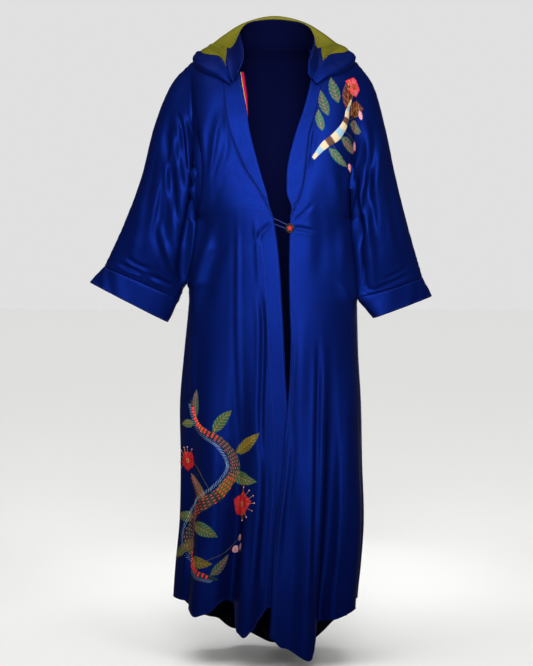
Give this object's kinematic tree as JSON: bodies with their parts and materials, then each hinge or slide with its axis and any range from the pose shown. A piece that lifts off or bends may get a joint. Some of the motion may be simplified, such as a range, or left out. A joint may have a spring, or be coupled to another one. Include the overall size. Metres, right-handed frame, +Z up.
{
  "type": "hooded open-front satin robe, kimono",
  "caption": "Long hooded open-front robe in satin with wide cuffed sleeves, tapered front bands and a single button and loop, worn shape.",
  "frame": {"origin": "middle of the neck, level with the top of the shoulders, where the wearer carries the robe", "axes": "+Z up, -Y to the front, +X towards the right front, seen from the front"},
  "size_m": [0.7768, 0.3382, 1.4556],
  "materials": {
    "satin": "blue satin",
    "lining": "chartreuse satin",
    "crimson": "crimson satin",
    "facing": "charcoal cloth",
    "button_black": "glossy",
    "gilt": "gilt",
    "red_enamel": "enamel"
  },
  "bodies": {
    "root": {"back": "satin", "front_left": "satin", "front_right": "satin", "front_band_left": "satin", "front_band_right": "satin", "cuff_left": "satin", "cuff_right": "satin", "hood": "satin", "hood_lining": "lining", "neck_facing": "crimson", "back_hem_facing": "facing", "button": "button_black", "button_rim": "gilt", "button_star": "red_enamel", "button_loop": "satin"}
  },
  "joints": []
}
